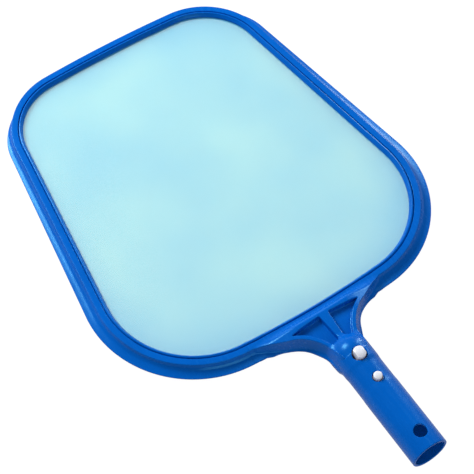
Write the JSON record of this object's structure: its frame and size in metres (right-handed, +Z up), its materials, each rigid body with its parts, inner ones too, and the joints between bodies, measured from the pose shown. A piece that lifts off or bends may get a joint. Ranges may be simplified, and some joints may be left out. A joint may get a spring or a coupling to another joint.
{
  "type": "leaf skimmer net",
  "caption": "Flat leaf skimmer head for a pool or spa: rounded blue rim, stretched fine net, and a tubular pole socket with a spring clip.",
  "frame": {"origin": "centre of the pole socket's mouth, on the socket's axis", "axes": "+Y along the socket's axis to the far edge of the net, +Z up out of the net's upper face, +X to the right"},
  "size_m": [0.3, 0.4558, 0.0368],
  "materials": {
    "blue_plastic": "glossy moulded polypropylene",
    "net_fabric": "fine woven nylon, pale cyan, slightly see-through",
    "white_plastic": "satin moulded acetal"
  },
  "bodies": {
    "head": {"head_rim": "blue_plastic", "neck_plate": "blue_plastic", "pole_socket": "blue_plastic", "retaining_ring": "blue_plastic", "net_mesh": "net_fabric", "clip_bow": "white_plastic"},
    "clip_leg_top_body": {"clip_leg_top": "white_plastic"},
    "clip_leg_bottom_body": {"clip_leg_bottom": "white_plastic"}
  },
  "joints": [
    {"name": "clip_top_press", "type": "hinge", "parent": "head", "child": "clip_leg_top_body", "pos_m": [0, 0.1, 0.0075], "axis": [1, 0, 0], "range_deg": [0, 5], "stiffness_Nm_per_rad": 1.2, "springref_deg": -2.29},
    {"name": "clip_bottom_press", "type": "hinge", "parent": "head", "child": "clip_leg_bottom_body", "pos_m": [0, 0.1, -0.0075], "axis": [-1, 0, 0], "range_deg": [0, 5], "stiffness_Nm_per_rad": 1.2, "springref_deg": -2.29}
  ]
}
